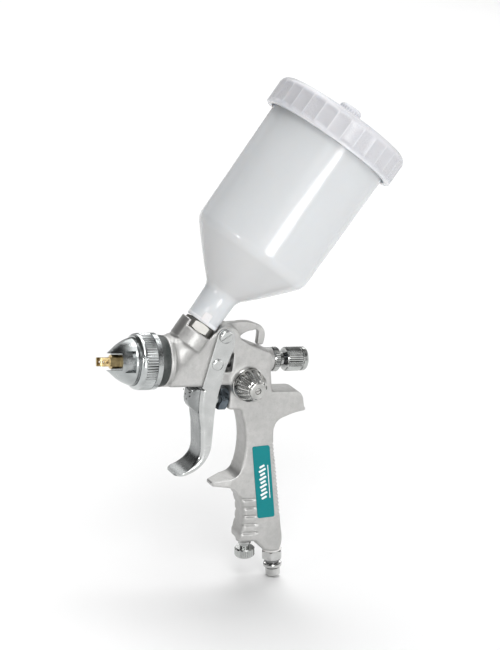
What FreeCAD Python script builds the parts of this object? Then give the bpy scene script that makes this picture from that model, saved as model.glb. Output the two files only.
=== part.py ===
"""Gravity-feed HVLP spray gun with a plastic cup: one STEP file for each piece.

Gun frame while modelling: X runs back along the needle axis, the nozzle points to -X, Z is up,
Y = 0 is the symmetry plane, and the origin is where the cup's axis crosses the needle's axis.
Every piece is moved at the end so that the origin is the nose of the air inlet plug. Millimetres.
"""
import FreeCAD, Part
import math
import os

from FreeCAD import Vector

# ---- driving dimensions -------------------------------------------------------------------
CAST_HALF = 9.0          # half thickness of the casting's flat sides
CAST_EDGE = 2.0          # rounding along the casting's edges
HEAD_R = 18.3            # round front flange of the head
HEAD_FRONT_X = -9.5
HEAD_BOTTOM_Z = -17.4
SPIGOT_X, SPIGOT_R = -21.4, 16.5   # threaded spigot inside the air cap ring
RUN_FIT = 0.05           # radial clearance of a shaft in its hole

PIVOT_X, PIVOT_Z = 33.0, 20.8
PIVOT_R = 3.0
TRIGGER_INNER = 9.5      # inner face of each trigger arm
TRIGGER_SHEET = 1.4
TRIGGER_OUTER = TRIGGER_INNER + TRIGGER_SHEET
PIN_X, PIN_R = 29.3, 2.2
WINDOW_X0, WINDOW_X1 = 25.5, 42.2
WINDOW_Z0, WINDOW_Z1 = -6.4, 8.2

NEEDLE_R = 1.5
NEEDLE_HOLE_R = 2.0
COLLAR_X, COLLAR_R = 31.7, 6.2
PACKING_R = 5.0
REAR_BORE_R = 7.0
REAR_SEAT_X = 75.6       # round seat that the fluid knob's lock ring faces
LOCK_END_X = 80.8        # rear face of the lock ring
KNOB_X = 86.6            # front face of the fluid knob
KNOB_END_X = 103.2

VALVE_Z = -28.0
VALVE_FACE_X = 43.0
VALVE_R = 6.0
VALVE_STEM_R = 2.5

FAN_X, FAN_Z = 55.0, -14.8
FAN_BORE_R = 6.0
PAD_Y = CAST_HALF + 1.4  # face of the round pad under the fan control

CUP_TILT = 32.0          # cup's axis leans back from vertical
NUT_BOTTOM, NUT_TOP = 26.6, 33.2
CUP_NECK_BOTTOM = 33.6
CUP_NECK_R = 12.0
CUP_TOP = 205.6
CUP_R = 46.3
CUP_WALL = 2.0
LID_BOTTOM, LID_TOP = 187.6, 209.8
LID_R = 52.6
VENT_TOP, VENT_R = 219.0, 8.6

INLET_TILT = 10.0        # plug's axis leans back from vertical going down
INLET_X, INLET_Z = 96.8, -147.0
PLUG_R = 5.5
PLUG_NOSE = 21.0         # distance along the plug to the end of its straight nose
REG_TILT = 8.0
REG_FACE = 1.4           # regulator boss stands this far below the handle's foot
REG_X, REG_Z = 73.2, -138.3

LABEL_X, LABEL_Z, LABEL_TILT = 78.3, -91.1, 11.8

CAP_TURN = 16.0          # fan pattern's turn about the needle axis
RING_R = 20.2
SPRING_WIRE = 1.0


# ---- small helpers ------------------------------------------------------------------------
def lean(degrees):
    """Unit vector in the XZ plane, leaning from +Z towards +X."""
    a = math.radians(degrees)
    return Vector(math.sin(a), 0, math.cos(a))


CUP_AXIS = lean(CUP_TILT)
INLET_AXIS = Vector(math.sin(math.radians(INLET_TILT)), 0, -math.cos(math.radians(INLET_TILT)))
REG_AXIS = Vector(math.sin(math.radians(REG_TILT)), 0, -math.cos(math.radians(REG_TILT)))
INLET_BASE = Vector(INLET_X, 0, INLET_Z)
REG_BASE = Vector(REG_X, 0, REG_Z)
ORIGIN = INLET_BASE + INLET_AXIS * PLUG_NOSE


def path(start, *legs):
    """Closed wire of 2-D points; a leg is a point, or a (middle, end) pair for an arc."""
    edges = []
    here = Vector(start[0], start[1], 0)
    for leg in legs:
        if isinstance(leg[0], (tuple, list)):
            middle = Vector(leg[0][0], leg[0][1], 0)
            end = Vector(leg[1][0], leg[1][1], 0)
            edges.append(Part.Arc(here, middle, end).toShape())
        else:
            end = Vector(leg[0], leg[1], 0)
            edges.append(Part.makeLine(here, end))
        here = end
    first = Vector(start[0], start[1], 0)
    if (here - first).Length > 1e-6:
        edges.append(Part.makeLine(here, first))
    return Part.Wire(edges)


def plate(wire, y0, y1):
    """Wire drawn in X and Z, made into a plate between y0 and y1."""
    face = Part.Face(wire)
    face.rotate(Vector(0, 0, 0), Vector(1, 0, 0), 90)
    face.translate(Vector(0, y0, 0))
    return face.extrude(Vector(0, y1 - y0, 0))


def soft_plate(wire, half, radius):
    """Plate centred on Y = 0 with its outline edges rounded."""
    solid = plate(wire, -half, half)
    rim = [e for e in solid.Edges if all(abs(abs(v.Y) - half) < 1e-6 for v in e.Vertexes)]
    return solid.makeFillet(radius, rim)


def lathe(wire, base, axis):
    """Wire of (along, radius) points turned about an axis from a base point."""
    face = Part.Face(wire)
    solid = face.revolve(Vector(0, 0, 0), Vector(1, 0, 0), 360)
    turn = FreeCAD.Rotation(Vector(1, 0, 0), axis)
    solid.Placement = FreeCAD.Placement(base, turn)
    return solid


def turned(base, axis, start, *legs):
    return lathe(path(start, *legs), base, axis)


def rod(base, axis, r, a, b):
    """Cylinder about an axis, from distance a to distance b along it."""
    return Part.makeCylinder(r, b - a, base + axis * a, axis)


def tube(base, axis, r_out, r_in, a, b):
    return rod(base, axis, r_out, a, b).cut(rod(base, axis, r_in, a - 1, b + 1))


def prism(base, axis, sides, flat_r, a, b, start_angle=0.0):
    """Regular prism about an axis; flat_r is the distance from the axis to a flat."""
    corner = flat_r / math.cos(math.pi / sides)
    points = []
    for i in range(sides + 1):
        turn = math.radians(start_angle) + 2 * math.pi * i / sides
        points.append(Vector(0, corner * math.cos(turn), corner * math.sin(turn)))
    solid = Part.Face(Part.makePolygon(points)).extrude(Vector(b - a, 0, 0))
    solid.translate(Vector(a, 0, 0))
    place = FreeCAD.Placement(base, FreeCAD.Rotation(Vector(1, 0, 0), axis))
    solid.Placement = place.multiply(solid.Placement)
    return solid


def hexagon(base, axis, flat_r, a, b, start_angle=0.0):
    """Hexagonal prism with turned-off corners at both ends."""
    nut = prism(base, axis, 6, flat_r, a, b, start_angle)
    corner = flat_r / math.cos(math.pi / 6)
    step = corner - flat_r
    blank = turned(base, axis, (a, 0), (a, flat_r), (a + step * 0.6, corner + 0.01),
                   (b - step * 0.6, corner + 0.01), (b, flat_r), (b, 0))
    return nut.common(blank)


def notched(base, axis, blank, count, r_at, depth_r, a, b):
    """Blank with straight rounded flutes cut along it at a regular pitch."""
    across = Vector(0, 1, 0)
    if abs(axis.y) > 0.5:
        across = Vector(0, 0, 1)
    cutters = []
    for i in range(count):
        side = FreeCAD.Rotation(axis, 360.0 * i / count).multVec(across)
        cutters.append(Part.makeCylinder(depth_r, b - a, base + side * r_at + axis * a, axis))
    return blank.cut(Part.makeCompound(cutters))


def ridged(base, axis, r_out, depth, count, a, b, chamfer):
    """Straight-knurled ring blank: a many-pointed star prism with chamfered ends."""
    points = []
    for i in range(2 * count + 1):
        turn = math.pi * i / count
        r = r_out if i % 2 == 0 else r_out - depth
        points.append(Vector(0, r * math.cos(turn), r * math.sin(turn)))
    star = Part.Face(Part.makePolygon(points)).extrude(Vector(b - a, 0, 0))
    star.translate(Vector(a, 0, 0))
    place = FreeCAD.Placement(base, FreeCAD.Rotation(Vector(1, 0, 0), axis))
    star.Placement = place.multiply(star.Placement)
    inner = r_out - chamfer
    blank = turned(base, axis, (a, 0), (a, inner), (a + chamfer, r_out + 0.01),
                   (b - chamfer, r_out + 0.01), (b, inner), (b, 0))
    return star.common(blank)


def coil_spring(base, axis, mean_r, a, b, turns):
    """Compression spring: a round wire swept along a helix."""
    pitch = (b - a - SPRING_WIRE) / turns
    helix = Part.makeHelix(pitch, pitch * turns, mean_r)
    ring = Part.Wire(Part.makeCircle(SPRING_WIRE / 2, Vector(mean_r, 0, 0), Vector(0, 1, 0)))
    spring = Part.Wire(helix).makePipeShell([ring], True, True)
    spring.Placement = FreeCAD.Placement(base + axis * (a + SPRING_WIRE / 2),
                                         FreeCAD.Rotation(Vector(0, 0, 1), axis))
    return spring


def slot_cut(base, axis, across, r, width, depth, a):
    """Screwdriver slot sunk by depth into a face at distance a along the axis."""
    box = Part.makeBox(depth + 2, 2 * r + 2, width, Vector(a - depth, -r - 1, -width / 2))
    first = FreeCAD.Rotation(Vector(1, 0, 0), axis)
    turn = FreeCAD.Rotation(axis, across).multiply(first)
    box.Placement = FreeCAD.Placement(base, turn)
    return box


X_AXIS = Vector(1, 0, 0)
Y_AXIS = Vector(0, 1, 0)
NEAR = Vector(0, -1, 0)
ZERO = Vector(0, 0, 0)
PIVOT = Vector(PIVOT_X, 0, PIVOT_Z)
VALVE = Vector(0, 0, VALVE_Z)
FAN = Vector(FAN_X, 0, FAN_Z)


# ---- casting ------------------------------------------------------------------------------
def grip_plate():
    """Handle, with the block that the air valve screws into."""
    wire = path((VALVE_FACE_X, -12), (VALVE_FACE_X, -35.2), (50.4, -35.2),
                ((53.3, -36.3), (54.6, -39.4)), ((60.4, -65.0), (57.6, -86.0)), (57.6, -97.5),
                ((66.0, -116.0), (65.2, -132.6)), (65.9, -138.0), (77.8, -138.0), (86.2, -145.6),
                (88.2, -146.2), (99.0, -146.9), (100.2, -141.0), ((100.0, -135.5), (98.7, -130.2)),
                (86.2, -75.0), ((83.0, -61.0), (81.9, -50.4)), ((83.5, -45.2), (88.6, -42.0)),
                (88.6, -30), (60, -12))
    return soft_plate(wire, CAST_HALF, CAST_EDGE)


def head_plate():
    """Flat-sided middle of the gun, from the head back to the fluid knob."""
    wire = path((HEAD_FRONT_X + 4, HEAD_BOTTOM_Z), (26.0, HEAD_BOTTOM_Z), (27.8, -16.6),
                (48.0, -16.6), (52.0, -33.0), (73.0, -33.0), (76.6, -21.6), (71.8, 4.0),
                ((71.3, 7.4), (68.6, 8.8)), (62.5, 10.9), (54.0, 14.0), (46.6, 18.2),
                ((37.4, 27.3), (26.0, 22.6)), (11.0, 18.6), (HEAD_FRONT_X + 4, 18.2))
    return soft_plate(wire, CAST_HALF, CAST_EDGE)


def tail_plate():
    """Guard over the hand, behind the handle's top."""
    wire = path((66.0, -21.6), (94.0, -21.6), ((100.2, -24.0), (103.0, -29.4)), (104.2, -34.0),
                (107.0, -36.9), ((97.0, -38.8), (88.6, -42.0)), ((84.0, -44.9), (82.0, -50.4)),
                (66.0, -50.4))
    return soft_plate(wire, CAST_HALF, 1.3)


def spur_plate():
    """Finger rest that points forward below the trigger."""
    wire = path((66.0, -82.0), (59.4, -80.0), ((56.0, -86.4), (50.0, -88.4)), (40.6, -91.4),
                ((38.6, -93.0), (40.4, -94.8)), (50.0, -95.0), ((55.6, -96.6), (59.6, -101.0)),
                (66.0, -104.0))
    side_view = plate(wire, -CAST_HALF, CAST_HALF)
    plan = path((38.0, -3.6), (40.4, -5.4), (52.0, -CAST_HALF), (67.0, -CAST_HALF), (67.0, CAST_HALF),
                (52.0, CAST_HALF), (40.4, 5.4), (38.0, 3.6))
    top_view = Part.Face(plan).extrude(Vector(0, 0, 40))
    top_view.translate(Vector(0, 0, -110))
    return side_view.common(top_view)


def hook_fin():
    """Hanging hook on top: a thin fin that curls down behind the opening."""
    wire = path((28.0, 20.0), (30.0, 25.2), ((36.0, 27.8), (44.0, 28.6)), ((54.0, 29.0), (61.0, 27.0)),
                ((66.6, 23.4), (68.3, 16.6)), (67.6, 11.6), (62.7, 11.6), (62.6, 20.0),
                ((61.6, 22.4), (58.6, 22.4)), ((51.6, 20.4), (46.0, 15.0)))
    return soft_plate(wire, 2.6, 0.9)


def head_flange():
    """Round flange that the air cap ring screws against, flaring into the flat sides."""
    return turned(ZERO, X_AXIS, (HEAD_FRONT_X, 0), (HEAD_FRONT_X, HEAD_R - 0.6),
                  (HEAD_FRONT_X + 0.6, HEAD_R), (-5.7, HEAD_R), ((-2.4, 12.2), (5.0, 8.8)), (5.0, 0))


def cup_boss():
    """Leaning boss that takes the cup fitting, with a taller lug at its front."""
    neck = rod(ZERO, CUP_AXIS, 10.6, 2.0, 16.0)
    collar = turned(ZERO, CUP_AXIS, (14.6, 0), (14.6, 12.8), (15.4, 13.6), (25.4, 13.6),
                    (26.4, 12.8), (26.4, 0))
    front_half = Part.makeBox(24, 40, 40, Vector(-17.5, -20, 0))
    front_half.rotate(ZERO, Y_AXIS, CUP_TILT)
    lug = rod(ZERO, CUP_AXIS, 14.0, 16.0, 31.0)
    front_slice = Part.makeBox(12, 13, 40, Vector(-21.0, -6.5, 0))
    front_slice.rotate(ZERO, Y_AXIS, CUP_TILT)
    return neck.fuse([collar.common(front_half), lug.common(front_slice)]).removeSplitter()


def side_ribs():
    """Small round-ended ribs under the boss, one on each flat side."""
    ribs = []
    for side in (-1, 1):
        foot = Vector(10.6, side * 8.4, 12.0)
        ribs.append(Part.makeCylinder(3.1, 9.0, foot, Vector(0, 0, 1)))
        ribs.append(Part.makeSphere(3.1, foot))
    return ribs


def finger_grooves():
    """Five shallow grooves across each side of the handle, behind its front edge."""
    cuts = []
    for i in range(5):
        z = -104.6 - 6.6 * i
        x = 61.2 + 1.35 * i
        for side in (-1, 1):
            groove = Part.makeCylinder(1.0, 13.0, Vector(x, side * (CAST_HALF + 0.45), z), X_AXIS)
            cuts.append(groove)
    return cuts


def back_serrations():
    """Row of cross grooves down the back of the handle."""
    cuts = []
    for i in range(19):
        z = -62.0 - 3.0 * i
        x = 83.15 + 0.232 * (-62.0 - z) + 0.55
        cuts.append(Part.makeCylinder(1.0, 12.0, Vector(x, -6.0, z), Y_AXIS))
    return cuts


def casting_bores():
    """Passages, threaded seats and the trigger window."""
    window = Part.makeBox(WINDOW_X1 - WINDOW_X0, 2 * CAST_HALF + 2, WINDOW_Z1 - WINDOW_Z0,
                          Vector(WINDOW_X0, -CAST_HALF - 1, WINDOW_Z0))
    air_start = Vector(95.0, 0, -140.0)
    air_end = Vector(63.0, 0, -31.0)
    air_way = air_end - air_start
    return [
        window,
        rod(ZERO, X_AXIS, 6.1, HEAD_FRONT_X - 1, 4.2),
        rod(ZERO, X_AXIS, 3.6, 4.0, 15.0),
        rod(ZERO, X_AXIS, NEEDLE_HOLE_R, 4.0, WINDOW_X0 + 1),
        rod(ZERO, X_AXIS, PACKING_R + RUN_FIT, 15.0, WINDOW_X0 + 1),
        rod(ZERO, X_AXIS, 5.6, WINDOW_X1 - 1, 62.0),
        rod(ZERO, X_AXIS, REAR_BORE_R + RUN_FIT, 61.5, 80.0),
        rod(ZERO, CUP_AXIS, 3.4, 4.0, 14.0),
        rod(ZERO, CUP_AXIS, 7.05, 13.0, 27.0),
        rod(ZERO, CUP_AXIS, 12.45, NUT_BOTTOM - 0.1, 80.0),
        rod(ZERO, CUP_AXIS, CUP_NECK_R + 1.2, CUP_NECK_BOTTOM - 0.3, 80.0),
        rod(Vector(0, 0, -11.5), X_AXIS, 2.0, -5.0, 46.0),
        rod(VALVE, X_AXIS, VALVE_R + RUN_FIT, VALVE_FACE_X - 1, 69.4),
        rod(VALVE, X_AXIS, 4.3, 69.0, 80.0),
        rod(PIVOT, Y_AXIS, PIVOT_R + RUN_FIT, -CAST_HALF - 1, CAST_HALF + 1),
        rod(FAN, NEAR, FAN_BORE_R + RUN_FIT, 1.0, PAD_Y + 1),
        rod(FAN, NEAR, 2.2, -5.0, 2.0),
        Part.makeCylinder(3.2, air_way.Length, air_start, air_way),
        rod(INLET_BASE, INLET_AXIS, 5.05, -12.0, 1.0),
        rod(REG_BASE, REG_AXIS, 3.55, -14.0, REG_FACE + 1),
        rod(REG_BASE, REG_AXIS, 5.9, REG_FACE, 12.0),
    ]


def gun_body():
    flange = head_flange()
    spigot = tube(ZERO, X_AXIS, SPIGOT_R, 12.6, SPIGOT_X, HEAD_FRONT_X + 1)
    fan_pad = turned(FAN, NEAR, (4.0, 0), (4.0, 12.4), (PAD_Y - 0.6, 12.4), (PAD_Y, 11.8), (PAD_Y, 0))
    rear_seat = rod(ZERO, X_AXIS, 8.6, 66.0, REAR_SEAT_X)
    reg_boss = turned(REG_BASE, REG_AXIS, (-8.0, 0), (-8.0, 6.6), (REG_FACE - 0.8, 6.6),
                      (REG_FACE, 5.8), (REG_FACE, 0))
    parts = [head_plate(), tail_plate(), spur_plate(), hook_fin(), flange, spigot, cup_boss(),
             fan_pad, rear_seat, reg_boss]
    body = grip_plate().fuse(parts + side_ribs())
    cuts = casting_bores() + finger_grooves() + back_serrations()
    return body.cut(cuts).removeSplitter()


def side_label():
    """Thin rounded label on the handle's near side, leaning with the handle."""
    long, wide, corner = 28.6, 6.9, 2.2
    bend = corner * (1 - math.sqrt(0.5))
    wire = path((-wide + corner, -long), (wide - corner, -long),
                ((wide - bend, -long + bend), (wide, -long + corner)), (wide, long - corner),
                ((wide - bend, long - bend), (wide - corner, long)), (-wide + corner, long),
                ((-wide + bend, long - bend), (-wide, long - corner)), (-wide, -long + corner),
                ((-wide + bend, -long + bend), (-wide + corner, -long)))
    label = plate(wire, -CAST_HALF - 0.35, -CAST_HALF)
    label.rotate(ZERO, Y_AXIS, -LABEL_TILT)
    label.translate(Vector(LABEL_X, 0, LABEL_Z))
    return label


# ---- nozzle and air cap -------------------------------------------------------------------
def fluid_nozzle():
    """Steel nozzle: threaded shank, hexagon, and a tip with a tapered seat for the needle."""
    outside = turned(ZERO, X_AXIS, (-50.5, 0), (-50.5, 1.6), (-46.0, 2.5), (-40.0, 2.5), (-36.0, 6.4),
                     (-28.0, 6.4), (-26.0, 8.4), (-20.0, 8.4), (-20.0, 0))
    hexed = hexagon(ZERO, X_AXIS, 8.0, -20.0, -14.1)
    shank = rod(ZERO, X_AXIS, 6.0, -14.2, 4.0)
    seat = turned(ZERO, X_AXIS, (-51.0, 0), (-51.0, 0.9), (-49.3, 0.9), (-44.0, 2.3), (5.0, 2.3), (5.0, 0))
    return outside.fuse([hexed, shank]).cut(seat)


def air_distributor():
    """Ring with a circle of air holes, clamped behind the nozzle's hexagon."""
    ring = tube(ZERO, X_AXIS, 12.4, 6.15, -14.0, HEAD_FRONT_X - 0.05)
    holes = []
    for i in range(12):
        turn = math.radians(30 * i)
        centre = Vector(0, 9.9 * math.cos(turn), 9.9 * math.sin(turn))
        holes.append(rod(centre, X_AXIS, 1.2, -15.0, HEAD_FRONT_X + 1))
    return ring.cut(holes)


def across_cap(x0, x1, half):
    """Box across the air cap, turned with the fan pattern about the needle axis."""
    box = Part.makeBox(x1 - x0, 60.0, 2 * half, Vector(x0, -30.0, -half))
    box.rotate(ZERO, X_AXIS, -CAP_TURN)
    return box


def air_cap():
    """Chromed cone, hollow, slotted across its front for the two horns."""
    cone = turned(ZERO, X_AXIS, (-24.0, 14.2), (-24.0, 18.2), (-27.0, 18.2), (-27.0, 17.0),
                  (-32.6, 17.0), (-32.9, 16.4), (-33.5, 16.4), (-33.8, 16.8),
                  ((-40.0, 14.2), (-45.6, 10.2)), (-49.2, 7.2), ((-50.0, 6.5), (-50.3, 5.6)),
                  (-50.3, 5.0), (-41.0, 5.0), (-39.4, 9.0), (-33.0, 13.6), (-28.0, 14.2))
    slot = across_cap(-52.0, -43.4, 5.9)
    step = across_cap(-44.0, -35.0, 7.6).cut(rod(ZERO, X_AXIS, 13.2, -46.0, -34.0))
    cuts = [slot, step]
    for side in (-1, 1):
        for reach in (6.4, 9.0):
            spot = Vector(0, 0, side * reach)
            cuts.append(rod(spot, X_AXIS, 0.7, -52.0, -38.0))
    return cone.cut(cuts)


def air_cap_horns():
    """Brass insert: a round core and two horns, each cross-drilled with two ports."""
    core = rod(ZERO, X_AXIS, 4.95, -48.2, -41.4)
    horns = []
    for side in (-1, 1):
        plan = path((-57.2, 2.9), (-57.2, 4.6), (-56.6, 5.2), (-50.4, 5.6), (-44.6, 9.4), (-43.5, 9.4),
                    (-43.5, 2.9))
        block = Part.Face(plan).extrude(Vector(0, 0, 6.2))
        block.translate(Vector(0, 0, -3.1))
        for port_x in (-55.0, -51.9):
            port = Vector(port_x, 0, 0)
            block = block.cut(rod(port, Y_AXIS, 0.75, 0, 10))
            block = block.cut(turned(port, Y_AXIS, (8.0, 0), (8.0, 1.4), (5.1, 1.4), (4.5, 0.7), (4.5, 0)))
        if side < 0:
            block.rotate(ZERO, X_AXIS, 180)
        horns.append(block)
    insert = core.fuse(horns)
    insert.rotate(ZERO, X_AXIS, -CAP_TURN)
    return insert.cut(rod(ZERO, X_AXIS, 2.8, -60.0, -40.0))


def air_cap_ring():
    """Knurled retaining ring around the air cap."""
    outside = turned(ZERO, X_AXIS, (-31.8, 0), (-31.8, 18.0), ((-30.6, 19.4), (-28.6, RING_R - 0.3)),
                     (-19.8, RING_R - 0.6), (-19.8, RING_R - 0.1), (-16.2, RING_R - 0.1),
                     (-15.8, RING_R - 0.6), (-15.8, 0))
    knurl = ridged(ZERO, X_AXIS, RING_R, 0.55, 66, -28.6, -19.8, 0.5)
    inside = turned(ZERO, X_AXIS, (-32.0, 0), (-32.0, 17.2), (-27.3, 17.2), (-27.3, 18.35),
                    (-22.0, 18.35), (-22.0, SPIGOT_R + 0.1), (-15.0, SPIGOT_R + 0.1), (-15.0, 0))
    return outside.fuse(knurl).cut(inside)


def front_seal():
    """Black rubber ring between the air cap ring and the head's flange."""
    return turned(ZERO, X_AXIS, (-15.5, SPIGOT_R + 0.05), (-15.5, 17.9), ((-12.6, 18.4), (-9.7, 18.0)),
                  (-9.7, SPIGOT_R + 0.05))


# ---- needle line --------------------------------------------------------------------------
def fluid_needle():
    return turned(ZERO, X_AXIS, (-50.2, 0), (-50.0, 0.5), (-45.2, NEEDLE_R), (86.0, NEEDLE_R), (86.0, 0))


def needle_collar():
    """Collar fixed on the needle: the trigger's pins push its disc."""
    return turned(ZERO, X_AXIS, (COLLAR_X, NEEDLE_R), (COLLAR_X, COLLAR_R), (COLLAR_X + 3.2, COLLAR_R),
                  (COLLAR_X + 3.6, 4.6), (44.8, 4.6), (44.8, NEEDLE_R))


def needle_packing():
    return tube(ZERO, X_AXIS, PACKING_R, NEEDLE_R + RUN_FIT, 15.1, 18.8)


def packing_nut():
    """Slotted gland nut, flush with the front wall of the trigger window."""
    nut = tube(ZERO, X_AXIS, PACKING_R, NEEDLE_R + 0.1, 18.9, WINDOW_X0 - 0.2)
    return nut.cut(slot_cut(ZERO, X_AXIS, 0, PACKING_R, 1.2, 1.4, WINDOW_X0 - 0.2))


def needle_spring():
    return coil_spring(ZERO, X_AXIS, 3.4, 44.9, 65.7, 8)


def fluid_bushing():
    """Threaded sleeve that guides the fluid knob's stem."""
    return tube(ZERO, X_AXIS, REAR_BORE_R, 4.65, 62.1, REAR_SEAT_X + 0.3)


def fluid_lock_ring():
    ring = ridged(ZERO, X_AXIS, 8.9, 0.5, 36, 76.1, LOCK_END_X, 0.8)
    return ring.cut(rod(ZERO, X_AXIS, 4.7, 75.0, 85.0))


def fluid_knob():
    """Knurled end knob on a threaded stem, bored for the needle's tail."""
    stem = turned(ZERO, X_AXIS, (65.8, 0), (65.8, 4.6), (81.2, 4.6), (81.6, 4.0), (82.4, 4.0),
                  (82.8, 5.0), (84.6, 5.0), (85.0, 4.2), (KNOB_X + 0.2, 4.2), (KNOB_X + 0.2, 0))
    knurl = ridged(ZERO, X_AXIS, 8.8, 0.5, 34, KNOB_X, KNOB_END_X - 4.4, 0.9)
    cap = turned(ZERO, X_AXIS, (KNOB_END_X - 5.4, 0), (KNOB_END_X - 5.4, 8.2), (KNOB_END_X - 4.0, 8.2),
                 (KNOB_END_X - 3.6, 8.7), (KNOB_END_X - 1.4, 8.7),
                 ((KNOB_END_X - 0.4, 8.2), (KNOB_END_X, 7.0)), (KNOB_END_X, 0))
    return stem.fuse([knurl, cap]).cut(rod(ZERO, X_AXIS, NEEDLE_R + 0.1, 65.0, 97.0))


# ---- trigger ------------------------------------------------------------------------------
def arm_outline():
    """Side view of the trigger: a round eye at the pivot, then a long curved channel."""
    return path((26.6, 20.0), ((28.5, 24.6), (33.2, 26.4)), ((38.3, 24.4), (40.4, 19.4)),
                (40.6, 12.0), (36.2, -2.0), ((31.6, -22.0), (31.4, -40.0)), (31.9, -58.0),
                ((28.6, -72.4), (19.2, -80.9)), ((14.4, -82.9), (8.0, -84.3)), (7.3, -82.8),
                ((19.9, -76.2), (24.2, -64.0)), (22.0, -47.0), ((19.1, -33.0), (19.0, -19.4)),
                (20.8, -10.0))


def channel_hollow():
    """Space between the trigger's arms, leaving a web down its front."""
    wire = path((0, 40.0), (60.0, 40.0), (60.0, -90.0), (24.0, -90.0), ((19.6, -81.6), (17.4, -80.3)),
                ((23.6, -74.6), (25.7, -63.6)), (23.5, -46.8), ((20.6, -33.0), (20.5, -19.4)),
                (20.5, -19.3), (0, -19.3))
    return plate(wire, -TRIGGER_INNER, TRIGGER_INNER)


def web_pocket():
    """Raised pocket in the web that takes the end of the air valve's stem."""
    shell = plate(path((20.9, -19.4), (13.8, -19.4), (13.7, -29.0), ((15.0, -33.4), (20.9, -36.6))),
                  -8.4, 8.4)
    rim = [e for e in shell.Edges if all(abs(abs(v.Y) - 8.4) < 1e-6 for v in e.Vertexes)
           and min(v.X for v in e.Vertexes) < 20.0]
    return shell.makeFillet(1.2, rim)


def pocket_hollow():
    wire = path((22.0, -21.0), (15.2, -21.0), (15.1, -29.0), ((16.2, -32.4), (22.0, -35.4)))
    return plate(wire, -7.0, 7.0)


def tongue_outline():
    """Front view of the lever: straight sides and a rounded end, seen along the tongue."""
    half, tip = TRIGGER_OUTER + 0.01, 6.0
    bend = tip * (1 - math.sqrt(0.5))
    wire = path((0, -half + tip), ((bend, -half + bend), (tip, -half)), (120, -half), (120, half),
                (tip, half), ((bend, half - bend), (0, half - tip)))
    blank = Part.Face(wire).extrude(Vector(0, 0, 260))
    blank.translate(Vector(0, 0, -80))
    blank.rotate(ZERO, Y_AXIS, -22.0)
    blank.translate(Vector(7.2, 0, -84.4))
    return blank


def trigger():
    """Pressed-steel lever: two arms joined by a curved web."""
    arms = plate(arm_outline(), -TRIGGER_OUTER, TRIGGER_OUTER)
    rim = [e for e in arms.Edges if all(abs(abs(v.Y) - TRIGGER_OUTER) < 1e-6 for v in e.Vertexes)]
    lever = arms.makeFillet(0.7, rim).common(tongue_outline()).cut(channel_hollow())
    lever = lever.fuse(web_pocket()).cut(pocket_hollow())
    holes = [rod(PIVOT, Y_AXIS, PIVOT_R + RUN_FIT, -20, 20),
             rod(Vector(PIN_X, 0, 0), Y_AXIS, PIN_R, -20, 20)]
    for y, z in ((3.6, -24.6), (0.4, -27.4)):
        holes.append(rod(Vector(0, y, z), X_AXIS, 0.8, 12.0, 16.0))
    return lever.cut(holes).removeSplitter()


def needle_push_pins():
    """Two riveted pins, one through each arm, that push the needle's collar."""
    pins = []
    for side in (-1, 1):
        axis = Vector(0, side, 0)
        base = Vector(PIN_X, 0, 0)
        pins.append(turned(base, axis, (3.7, 0), (3.7, PIN_R), (TRIGGER_OUTER, PIN_R),
                           (TRIGGER_OUTER, 4.2), (TRIGGER_OUTER + 0.7, 4.2),
                           ((TRIGGER_OUTER + 1.2, 3.6), (TRIGGER_OUTER + 1.4, 2.6)),
                           (TRIGGER_OUTER + 1.4, 0)))
    return Part.makeCompound(pins)


def pivot_screw():
    """Slotted screw that the trigger swings on; its head is on the near side."""
    head_y = TRIGGER_OUTER + 0.15
    screw = turned(PIVOT, NEAR, (-14.6, 0), (-14.6, 2.6), (-14.2, PIVOT_R), (head_y, PIVOT_R),
                   (head_y, 4.9), (head_y + 1.2, 4.9), ((head_y + 1.9, 4.4), (head_y + 2.2, 3.2)),
                   (head_y + 2.2, 0))
    return screw.cut(slot_cut(PIVOT, NEAR, 35.0, 5.0, 1.2, 1.1, head_y + 2.2))


def pivot_nut():
    """Plain hexagon nut on the far end of the trigger's screw."""
    nut = hexagon(PIVOT, Y_AXIS, 4.8, TRIGGER_OUTER + 0.15, TRIGGER_OUTER + 3.3)
    return nut.cut(rod(PIVOT, Y_AXIS, PIVOT_R, 5.0, 20.0))


# ---- air valve ----------------------------------------------------------------------------
def air_valve_nut():
    """Hexagon nut that closes the air valve's chamber and guides its stem."""
    nut = hexagon(VALVE, X_AXIS, 7.95, 36.4, VALVE_FACE_X - 0.05)
    shank = rod(VALVE, X_AXIS, VALVE_R, VALVE_FACE_X - 0.1, 51.8)
    inner = rod(VALVE, X_AXIS, 4.2, 45.0, 52.0)
    return nut.fuse(shank).cut([inner, rod(VALVE, X_AXIS, VALVE_STEM_R + RUN_FIT, 30.0, 52.0)])


def air_valve_gland():
    """Round packing screw in front of the air valve's nut."""
    return turned(VALVE, X_AXIS, (33.4, VALVE_STEM_R + RUN_FIT), (33.4, 5.0), (34.0, 5.8), (36.3, 5.8),
                  (36.3, VALVE_STEM_R + RUN_FIT))


def air_valve_seat():
    return tube(VALVE, X_AXIS, VALVE_R, 3.2, 52.0, 53.8)


def air_valve_stem():
    """Stem with a domed front end and the valve's disc behind the seat."""
    return turned(VALVE, X_AXIS, (15.8, 0), ((16.4, 1.8), (17.6, VALVE_STEM_R)), (54.0, VALVE_STEM_R),
                  (54.0, 4.7), (56.8, 4.7), (56.8, 1.7), (61.0, 1.7), (61.0, 0))


def air_valve_spring():
    return coil_spring(VALVE, X_AXIS, 2.9, 56.9, 79.6, 9)


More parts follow.
